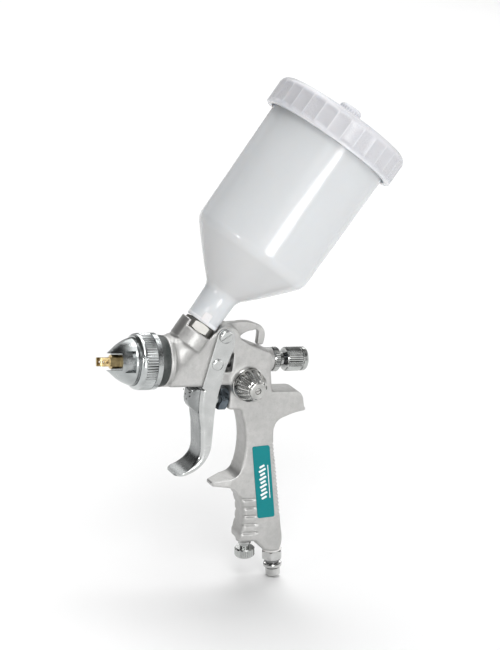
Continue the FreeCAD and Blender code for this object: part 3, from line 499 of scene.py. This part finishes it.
def finger_grooves(p, normals):
    """Five grooves across the handle's flanks, behind its front edge, as moves in mm."""
    top_z, pitch_z, top_x, pitch_x = -104.6, -6.6, 61.2, 1.35
    half_width, depth, reach_back = 0.95, 0.75, 13.5
    flank = np.clip((np.abs(p[:, 1]) - 5.5) / 2.0, 0, 1)
    move = np.zeros_like(p)
    for i in range(5):
        x, z = top_x + pitch_x * i, top_z + pitch_z * i
        across = np.exp(-((p[:, 2] - z) / half_width) ** 2)
        reach = np.clip((p[:, 0] - x + 1.5) / 3.0, 0, 1) * np.clip((x + reach_back - p[:, 0]) / 4.0, 0, 1)
        move -= normals * (depth * across * reach * flank)[:, None]
    return move


def back_serrations(p, normals):
    """Teeth down the handle's rear edge, as moves in mm."""
    top, bottom, first, pitch, height = -60.5, -117.6, -62.0, 3.0, 0.46
    back = 83.15 + 0.232 * (first - p[:, 2])
    on_back = (np.abs(p[:, 0] - back) < 3.0) & (p[:, 2] < top) & (p[:, 2] > bottom)
    tooth = np.clip(0.25 - np.cos(2 * math.pi * (p[:, 2] - first) / pitch), -0.6, 1.0)
    corner = np.clip((p[:, 0] - back + 2.6) / 0.8, 0, 1)
    return normals * np.where(on_back, height * (tooth - 0.55) * corner, 0.0)[:, None]


def casting():
    """Casting remeshed from its CAD node, with cast fillets grown into its inside corners."""
    voxel = 0.0005
    rounds = 44
    fill, wear, settle = 0.62, 0.035, 0.35
    mesh = frame["nodes"]["gun_body"].data.copy()
    bm = bmesh.new()
    bm.from_mesh(mesh)
    bmesh.ops.remove_doubles(bm, verts=bm.verts, dist=1e-6)
    bm.to_mesh(mesh)
    bm.free()
    rough = new_object("casting_rough", mesh, CAST)
    remesh = rough.modifiers.new("Voxels", "REMESH")
    remesh.mode = "VOXEL"
    remesh.voxel_size = voxel
    graph = bpy.context.evaluated_depsgraph_get()
    solid = bpy.data.meshes.new_from_object(rough.evaluated_get(graph))
    bpy.data.objects.remove(rough)

    p = np.zeros(len(solid.vertices) * 3)
    solid.vertices.foreach_get("co", p)
    p = p.reshape(-1, 3) / MM - ORIGIN_MM
    edges = np.zeros(len(solid.edges) * 2, np.int64)
    solid.edges.foreach_get("vertices", edges)
    edges = edges.reshape(-1, 2)
    quads = quads_of(solid)
    degree = np.bincount(edges.ravel(), minlength=len(p)).astype(float)
    # Smoothing in and out again takes the voxel steps away without shrinking the shape.
    for step in (0.5, -0.52, 0.5, -0.52):
        p = p + step * (neighbour_mean(p, edges, degree) - p)
    keep = keep_mask(p)
    # Inside corners fill much faster than outside edges wear.
    for _ in range(rounds):
        normals = vertex_normals(p, quads)
        pull = neighbour_mean(p, edges, degree) - p
        outward = np.sum(pull * normals, axis=1)
        weight = np.where(outward > 0, fill, wear) * keep
        p = p + pull * weight[:, None]
    normals = vertex_normals(p, quads)
    p = p + (finger_grooves(p, normals) + back_serrations(p, normals)) * keep[:, None]
    p = p + settle * (neighbour_mean(p, edges, degree) - p)
    solid.vertices.foreach_set("co", ((p + ORIGIN_MM) * MM).ravel())
    solid.update()
    solid.shade_smooth()
    solid.name = "casting_skin"
    obj = new_object("casting_skin", solid, CAST)
    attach(obj, "casting")
    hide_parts("gun_body")


# ---- cup and lid --------------------------------------------------------------------------
def cup_shell():
    """Blow-moulded cup with a 2 mm wall, one closed surface, outside and inside."""
    outside = [(33.6, 8.8), (33.6, 11.3), (33.75, 11.75), (34.2, 12.0), (36.2, 12.05), (36.5, 11.75),
               (53.8, 12.4)]
    outside += arc((53.8, 12.4), (57.4, 12.95), (60.6, 14.6), 8)
    outside += arc((60.6, 14.6), (76.0, 29.4), (89.6, 41.3), 10)
    outside += arc((89.6, 41.3), (93.6, 44.1), (98.8, 45.2), 8)
    outside += [(140.0, 45.75), (183.6, 46.3), (184.2, 46.3), (188.8, 46.3)]
    inside = [(205.4, 44.4), (184.0, 44.3), (98.8, 43.2)]
    inside += arc((98.8, 43.2), (93.0, 42.2), (89.0, 39.4), 6)
    inside += arc((89.0, 39.4), (75.0, 27.2), (59.4, 12.2), 8)
    inside += arc((59.4, 12.2), (56.6, 10.6), (54.6, 10.2), 5)
    inside += [(47.0, 9.8), (46.6, 8.75)]
    rim = [(189.6, 47.3), (200.0, 47.3), (201.0, 46.3), (205.2, 46.3), (205.55, 45.9), (205.6, 44.8)]
    verts, faces = lathed(outside + rim + inside, CUP_AXIS, 192)
    obj = made("cup_shell", verts, faces, CUP_PLASTIC, "cup", 50.0)
    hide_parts("cup")


def cup_lug():
    """Small pad moulded on the cup's neck, with rounded corners, on the near side."""
    half_across, half_up, corner = 3.1, 3.5, 0.9
    middle, neck_radius, bearing = 38.1, 12.55, math.radians(-112.0)
    side = Matrix.Rotation(bearing, 3, "Z") @ Vector((1.0, 0.0, 0.0))
    side = Matrix.Rotation(CUP_TILT, 3, "Y") @ side
    turn = CUP_AXIS.cross(side)
    outline = rounded_outline(half_across, half_up, corner, 5)
    levels = ((-1.0, 0.0), (0.05, 0.0), (0.3, 0.3))
    verts = []
    for lift, inset in levels:
        for u, w in outline:
            shrink = 1 - inset / math.hypot(u, w)
            angle = u * shrink / neck_radius
            arm = side * math.cos(angle) + turn * math.sin(angle)
            verts.append(gun(*(CUP_AXIS * (middle + w * shrink) + arm * (neck_radius + lift))))
    faces = drum_faces(len(outline), len(levels))
    # Painted shade: the pad takes the darker lid plastic, though it is moulded with the cup.
    made("cup_lug", verts, faces, LID_PLASTIC, "cup", 35.0)


def lid_shell():
    """Screw lid: a skirt of broad soft flutes between plain rims, and a domed edge."""
    count, depth, skirt, top = 30, 0.85, 52.45, 209.8
    low, high = 189.6, 206.6

    def fluted(along, radius, turn):
        if radius < 50.9 or along < 188.0:
            return radius
        phase = (turn * count / (2 * math.pi)) % 1.0
        hollow = math.cos(math.pi * (phase - 0.5)) ** 0.6
        fade = min(max((along - low) / 1.6, 0.0), 1.0) * min(max((high - along) / 2.6, 0.0), 1.0)
        return radius - depth * hollow * fade

    profile = [(187.6, 48.3), (187.6, 51.7), (187.8, 52.3), (188.4, skirt)]
    profile += [(188.4 + 0.8 * i, skirt) for i in range(1, 19)]
    profile += arc((202.8, skirt), (207.4, 51.5), (208.7, 50.2), 8)
    profile += [(208.75, 49.6), (208.95, 49.1), (209.5, 48.7), (top, 47.8), (top, 40.0), (top, 20.0),
                (top, 3.3), (206.8, 3.3), (206.8, 42.2), (201.0, 42.2), (201.0, 43.6), (206.8, 43.6),
                (206.8, 48.3)]
    verts, faces = lathed(profile, CUP_AXIS, 480, fluted)
    obj = made("lid_shell", verts, faces, LID_PLASTIC, "lid", 55.0)
    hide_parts("cup_lid")


def vent_button():
    """Vent cap: a low round button with a softly domed top and fine grip ribs."""
    ribs, depth = 24, 0.12
    profile = [(203.4, 0.0), (203.4, 3.0), (209.9, 3.0), (209.9, 8.1), (210.2, 8.5), (215.9, 8.6)]
    profile += arc((215.9, 8.6), (218.1, 7.7), (218.8, 6.0), 7)
    profile += [(219.0, 3.0), (219.0, 0.0)]

    def ribbed(along, radius, turn):
        if not 210.1 < along < 216.2:
            return radius
        return radius - depth * (1 + math.cos(ribs * turn))

    verts, faces = lathed(profile, CUP_AXIS, 144, ribbed)
    obj = made("vent_button", verts, faces, LID_PLASTIC, "vent_cap", 50.0)
    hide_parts("vent_cap")


# ---- trigger ------------------------------------------------------------------------------
def polyline_at(points, share):
    """Point at a share of a polyline's length."""
    steps = [math.dist(a, b) for a, b in zip(points, points[1:])]
    left = share * sum(steps)
    for (a, b), step in zip(zip(points, points[1:]), steps):
        if left <= step or (a, b) == (points[-2], points[-1]):
            t = left / step
            return (a[0] + (b[0] - a[0]) * t, a[1] + (b[1] - a[1]) * t)
        left -= step
    return points[-1]


def matched(front, back, steps, first):
    """Pairs of points at equal shares of two polylines, from one step to the last."""
    return [(polyline_at(front, i / steps), polyline_at(back, i / steps)) for i in range(first, steps + 1)]


def lever_outline():
    """(front, back) points up the lever's side view, and how many of the steps have a web."""
    web_steps, arm_steps, eye_steps = 64, 20, 11
    front = [(7.3, -82.8)] + arc((7.3, -82.8), (19.9, -76.2), (24.2, -64.0), 16)
    front += [(22.0, -47.0)] + arc((22.0, -47.0), (19.1, -33.0), (19.0, -19.4), 8)
    back = [(8.0, -84.3)] + arc((8.0, -84.3), (14.4, -82.9), (19.2, -80.9), 6)
    back += arc((19.2, -80.9), (28.6, -72.4), (31.9, -58.0), 12)
    back += [(31.4, -40.0)] + arc((31.4, -40.0), (31.6, -30.9), (32.9, -19.4), 6)
    outline = matched(front, back, web_steps, 0)
    arm_front = [(19.0, -19.4), (20.8, -10.0), (26.6, 20.0)]
    arm_back = [(32.9, -19.4), (36.2, -2.0), (40.6, 12.0), (40.4, 19.4)]
    outline += matched(arm_front, arm_back, arm_steps, 1)
    eye_front = arc((26.6, 20.0), (28.5, 24.6), (33.2, 26.4), eye_steps + 1)
    eye_back = arc((40.4, 19.4), (38.3, 24.4), (33.3, 26.4), eye_steps + 1)
    outline += list(zip(eye_front, eye_back))[:eye_steps]
    return outline, web_steps


def lever_section(length, width, bend, side_steps, bend_steps, web_steps):
    """U with rounded corners, from one open edge to the other: (back from the web, sideways) points."""
    half = [(length + (bend - length) * i / side_steps, -width) for i in range(side_steps)]
    turns = [math.pi / 2 * i / bend_steps for i in range(bend_steps + 1)]
    half += [(bend - bend * math.sin(t), -width + bend - bend * math.cos(t)) for t in turns]
    half += [(0.0, -(width - bend) * (1 - i / web_steps)) for i in range(1, web_steps + 1)]
    return half + [(d, -y) for d, y in reversed(half[:-1])]


def lever_sheet():
    """The lever as a sheet without thickness: its web is left out above the U-shaped part."""
    half, tip_narrowing, tip_length, bend_radius, least_bend = 10.9, 4.6, 6.0, 3.8, 0.3
    side_steps, bend_steps, web_steps = 10, 8, 14
    outline, with_web = lever_outline()
    tip_point = outline[0][0]
    rows, verts = [], []
    for number, (front, back) in enumerate(outline):
        length = math.dist(front, back)
        along = ((back[0] - front[0]) / length, (back[1] - front[1]) / length)
        bend = least_bend
        if number <= with_web:
            bend = min(bend_radius, max(length - 1.9, least_bend))
        tip = max(0.0, 1.0 - math.dist(front, tip_point) / tip_length)
        width = half - tip_narrowing * tip**2.4
        section = lever_section(length, width, bend, side_steps, bend_steps, web_steps)
        rows.append([len(verts) + i for i in range(len(section))])
        verts += [gun(front[0] + along[0] * d, y, front[1] + along[1] * d) for d, y in section]
    count = len(rows[0])
    faces = []
    for number, (a, b) in enumerate(zip(rows, rows[1:])):
        for i in range(count - 1):
            in_web = side_steps <= i < count - 1 - side_steps
            if number < with_web or not in_web:
                faces.append([a[i], a[i + 1], b[i + 1], b[i]])
    mesh = bpy.data.meshes.new("trigger_lever")
    mesh.from_pydata([tuple(v) for v in verts], [], faces)
    bm = bmesh.new()
    bm.from_mesh(mesh)
    bmesh.ops.delete(bm, geom=[v for v in bm.verts if not v.link_faces], context="VERTS")
    bmesh.ops.recalc_face_normals(bm, faces=bm.faces)
    bm.to_mesh(mesh)
    bm.free()
    return mesh


def trigger_lever():
    """Pressed lever: one bent sheet, U-shaped below and open between its arms above."""
    mesh = lever_sheet()
    obj = new_object("trigger_lever", mesh, STEEL)
    mesh.materials.append(DARK_REFLECTION_STEEL)
    # Painted dark reflection: faces not turned sideways take the darker copy of the steel.
    for polygon in mesh.polygons:
        if abs(polygon.normal.y) < 0.55:
            polygon.material_index = 1
    centre = sum((v.co for v in mesh.vertices), Vector()) / len(mesh.vertices)
    outward = sum(p.normal.dot(p.center - centre) for p in mesh.polygons)
    solid = obj.modifiers.new("Sheet", "SOLIDIFY")
    solid.thickness = 1.4 * MM
    solid.offset = -1.0 if outward > 0 else 1.0
    solid.use_even_offset = True
    edge = obj.modifiers.new("Edge", "BEVEL")
    edge.width = 0.35 * MM
    edge.segments = 3
    edge.limit_method = "ANGLE"
    edge.angle_limit = math.radians(50)
    graph = bpy.context.evaluated_depsgraph_get()
    final = bpy.data.meshes.new_from_object(obj.evaluated_get(graph))
    bpy.data.objects.remove(obj)
    final.name = "trigger_lever"
    final.shade_smooth()
    final.set_sharp_from_angle(angle=math.radians(48))
    # Linked here, because new_object would take the second material away.
    obj = bpy.data.objects.new("trigger_lever", final)
    bpy.context.scene.collection.objects.link(obj)
    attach(obj, "trigger")
    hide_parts("trigger")


def trigger_pocket():
    """Raised pocket on the lever's web that takes the valve stem, domed in section."""
    # Each level: height, and how far the pocket stands proud of the web.
    levels = ((-19.6, 5.4), (-20.2, 6.0), (-21.6, 6.3), (-25.0, 6.4), (-28.6, 6.4), (-31.4, 5.7),
              (-33.6, 4.3), (-35.4, 2.4), (-36.6, 0.6), (-37.2, -0.4))
    half, steps, sunk = 8.6, 28, 0.5
    rows, verts, faces = [], [], []
    for z, proud in levels:
        web_x = 19.0 + 0.0012 * (z + 33.0) ** 2
        row = []
        for i in range(steps + 1):
            t = -1 + 2 * i / steps
            fall = max(0.0, 1 - abs(t) ** 5.0)
            row.append(len(verts))
            verts.append(gun(web_x + sunk - (proud + sunk) * fall, half * t, z))
        rows.append(row)
    for a, b in zip(rows, rows[1:]):
        for i in range(steps):
            faces.append([a[i], a[i + 1], b[i + 1], b[i]])
    faces.append(rows[0][::-1])
    # Painted dark reflection: the pocket takes the darker copy of the steel.
    made("trigger_pocket", verts, faces, DARK_REFLECTION_STEEL, "trigger", 60.0)


def trigger_dots():
    """Small pressed dots on the front of the pocket, as thin discs of painted shade."""
    radius, top_share, segments = 0.62, 0.8, 14
    foot_x, top_x = 12.62, 12.50
    dots = ((5.6, -23.2), (1.6, -25.4), (-4.6, -22.4), (-5.2, -25.2), (-0.8, -28.4))
    for number, (y, z) in enumerate(dots):
        foot, top = [], []
        for i in range(segments):
            turn = 2 * math.pi * i / segments
            dy, dz = radius * math.cos(turn), radius * math.sin(turn)
            foot.append(gun(foot_x, y + dy, z + dz))
            top.append(gun(top_x, y + dy * top_share, z + dz * top_share))
        faces = [[i, (i + 1) % segments, segments + (i + 1) % segments, segments + i]
                 for i in range(segments)]
        faces.append([segments + i for i in range(segments)])
        made(f"trigger_dot_{number + 1}", foot + top, faces, HOLE_SHADE, "trigger", 40.0)


# ---- label --------------------------------------------------------------------------------
def on_label(u, w, lift):
    """Label coordinates in mm (across, along) to a point on the handle's near side.

    The label's long sides follow the handle and its ends lie nearly level, so it is a little skewed."""
    x = LABEL_X + u * math.cos(LABEL_ENDS) - w * math.sin(LABEL_TILT)
    z = LABEL_Z + u * math.sin(LABEL_ENDS) + w * math.cos(LABEL_TILT)
    return gun(x, -HANDLE_HALF - lift, z)


def flat_piece(name, outline, centre, base, thick, edge, material):
    """Thin plate on the label's plane, with a small chamfer round its outline."""
    count = len(outline)
    mean_x = sum(p[0] for p in outline) / count
    mean_z = sum(p[1] for p in outline) / count
    levels = ((base, 0.0), (base + thick * 0.6, 0.0), (base + thick, edge))
    verts = []
    for lift, inset in levels:
        for x, z in outline:
            dx, dz = x - mean_x, z - mean_z
            shrink = 1 - inset / max(math.hypot(dx, dz), 1e-6)
            u = centre[0] + mean_x + dx * shrink
            w = centre[1] + mean_z + dz * shrink
            verts.append(on_label(u, w, lift))
    return made(name, verts, drum_faces(count, len(levels)), material, "casting", 30.0)


def label():
    """Film on the handle, with a plain printed mark: a row of slanted bars beside a thin line."""
    film_thick, film_edge = 0.35, 0.08
    print_base, print_thick, print_edge = 0.352, 0.03, 0.02
    bars, pitch, slant = 9, 3.1, math.radians(24.0)
    film = flat_piece("label_film", rounded_outline(6.9, 28.6, 1.6), (0.0, 0.0), 0.0, film_thick, film_edge,
                      FILM)
    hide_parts("side_label")
    for number in range(bars):
        half = 3.0 if number % 2 else 2.2
        bar = [(u * math.cos(slant) - w * math.sin(slant), u * math.sin(slant) + w * math.cos(slant))
               for u, w in rounded_outline(half, 0.8, 0.4, 4)]
        centre = (-0.4, pitch * (number - (bars - 1) / 2))
        flat_piece(f"label_bar_{number + 1}", bar, centre, print_base, print_thick, print_edge, PRINT)
    line = rounded_outline(0.28, 13.2, 0.26, 4)
    flat_piece("label_line", line, (4.2, 0.0), print_base, print_thick, print_edge, PRINT)


# ---- dress the CAD nodes ------------------------------------------------------------------
def dress_nodes():
    """Give every CAD node its material."""
    for name, obj in frame["nodes"].items():
        obj.data.materials.clear()
        obj.data.materials.append(LOOKS[name])


# ---- studio -------------------------------------------------------------------------------
def floor():
    """Wide white floor, half a millimetre under the gun's lowest point."""
    size, steps = 60.0, 24
    lowest = min(CAD_BOX[0].z, 0.0) - 0.5 * MM
    row = steps + 1
    verts = [(size * (i / steps - 0.5), size * (j / steps - 0.5), lowest)
             for i in range(row) for j in range(row)]
    faces = [[i * row + j, (i + 1) * row + j, (i + 1) * row + j + 1, i * row + j + 1]
             for i in range(steps) for j in range(steps)]
    mesh = bpy.data.meshes.new("studio_floor")
    mesh.from_pydata(verts, [], faces)
    look = Look("Studio_floor", Roughness=0.6)
    mottle = look.noise(3.0, 3.0, 0.5)
    look.feed(Base_Color=look.mix(mottle, (0.82, 0.82, 0.82), (0.84, 0.84, 0.84)))
    obj = new_object("studio_floor", mesh, look.mat)


def area_light(name, target, direction, distance, width, height, energy):
    """Rectangular light that faces a target from a direction, in metres and watts."""
    data = bpy.data.lights.new(name, "AREA")
    data.shape = "RECTANGLE"
    data.size = width
    data.size_y = height
    data.energy = energy
    obj = bpy.data.objects.new(name, data)
    bpy.context.scene.collection.objects.link(obj)
    away = Vector(direction).normalized()
    obj.location = target + away * distance
    obj.rotation_mode = "QUATERNION"
    obj.rotation_quaternion = away.to_track_quat("Z", "Y")


def lights():
    """Soft key and top lights, two small ones for the streaks on cup and head, one for the far floor."""
    middle = (CAD_BOX[0] + CAD_BOX[1]) / 2
    far_floor = Vector((1.4, 3.3, 0.0))
    area_light("Key", middle, (-0.35, -0.75, 0.95), 3.0, 1.0, 1.0, 22.0)
    area_light("Top", middle, (0.1, 0.25, 1.0), 3.0, 1.6, 1.2, 34.0)
    area_light("Front", middle, (-0.02, -0.99, 0.04), 2.2, 0.55, 0.62, 13.0)
    area_light("Left", middle, (-0.913, -0.377, 0.158), 2.2, 0.3, 0.3, 6.0)
    area_light("Back", far_floor, (0.0, 0.0, 1.0), 2.8, 4.0, 3.4, 90.0)


def shaded(nodes, links, value, stops):
    """Grey from (direction from -1 to 1, grey) stops along one axis of the surround."""
    reach = nodes.new("ShaderNodeMapRange")
    reach.inputs["From Min"].default_value = -1.0
    links.new(value, reach.inputs["Value"])
    ramp = nodes.new("ShaderNodeValToRGB")
    links.new(reach.outputs["Result"], ramp.inputs["Fac"])
    points = ramp.color_ramp.elements
    while len(points) < len(stops):
        points.new(0.5)
    for point, (position, grey) in zip(points, stops):
        point.position = (position + 1.0) / 2
        point.color = (grey, grey, grey, 1.0)
    return ramp.outputs["Color"]


def world():
    """Soft studio surround: light walls with dark gaps between them, a dim ceiling, light overhead."""
    strength = 1.9
    shades = {
        "Z": ((-1.0, 0.30), (-0.02, 0.10), (0.03, 0.95), (0.46, 1.0), (0.55, 0.16), (0.80, 0.22),
              (0.88, 1.0), (1.0, 1.0)),
        "X": ((-1.0, 0.14), (-0.44, 0.10), (-0.34, 1.0), (0.16, 1.0), (0.26, 0.10), (0.46, 0.10),
              (0.58, 1.0), (1.0, 0.8)),
        "Y": ((-1.0, 1.0), (-0.1, 1.0), (0.35, 0.30), (1.0, 0.30)),
    }
    surround = bpy.data.worlds.new("Studio")
    bpy.context.scene.world = surround
    surround.use_nodes = True
    nodes, links = surround.node_tree.nodes, surround.node_tree.links
    coords = nodes.new("ShaderNodeTexCoord")
    split = nodes.new("ShaderNodeSeparateXYZ")
    links.new(coords.outputs["Generated"], split.inputs[0])
    colour = shaded(nodes, links, split.outputs["Z"], shades["Z"])
    for axis in ("X", "Y"):
        shade = nodes.new("ShaderNodeMix")
        shade.data_type = "RGBA"
        shade.blend_type = "MULTIPLY"
        shade.inputs[0].default_value = 1.0
        links.new(colour, shade.inputs[6])
        links.new(shaded(nodes, links, split.outputs[axis], shades[axis]), shade.inputs[7])
        colour = shade.outputs[2]
    links.new(colour, nodes["Background"].inputs["Color"])
    nodes["Background"].inputs["Strength"].default_value = strength


def camera():
    """Long lens from about 27 degrees round and 15 degrees up, rolled 7 degrees."""
    around, tilt, roll = (math.radians(v) for v in (26.88, 15.25, 7.02))
    aim, distance, lens, sensor = gun(56.33, 0.0, 25.74), 1.52586, 118.46382, 36.0
    level = Vector((math.cos(around), -math.sin(around), 0.0))
    back = Vector((-math.sin(around) * math.cos(tilt), -math.cos(around) * math.cos(tilt), math.sin(tilt)))
    upright = back.cross(level)
    cam_x = level * math.cos(roll) + upright * math.sin(roll)
    cam_y = upright * math.cos(roll) - level * math.sin(roll)
    data = bpy.data.cameras.new("Camera")
    data.sensor_width = sensor
    data.lens = lens
    data.clip_start = 0.05
    data.clip_end = 50.0
    obj = bpy.data.objects.new("Camera", data)
    bpy.context.scene.collection.objects.link(obj)
    turn = Matrix((cam_x, cam_y, back)).transposed()
    obj.matrix_world = Matrix.Translation(aim + back * distance) @ turn.to_4x4()
    bpy.context.scene.camera = obj


dress_nodes()
casting()
cup_shell()
cup_lug()
lid_shell()
vent_button()
trigger_lever()
trigger_pocket()
trigger_dots()
label()
floor()
world()
camera()
lights()
bpy.context.scene.view_settings.view_transform = "Standard"
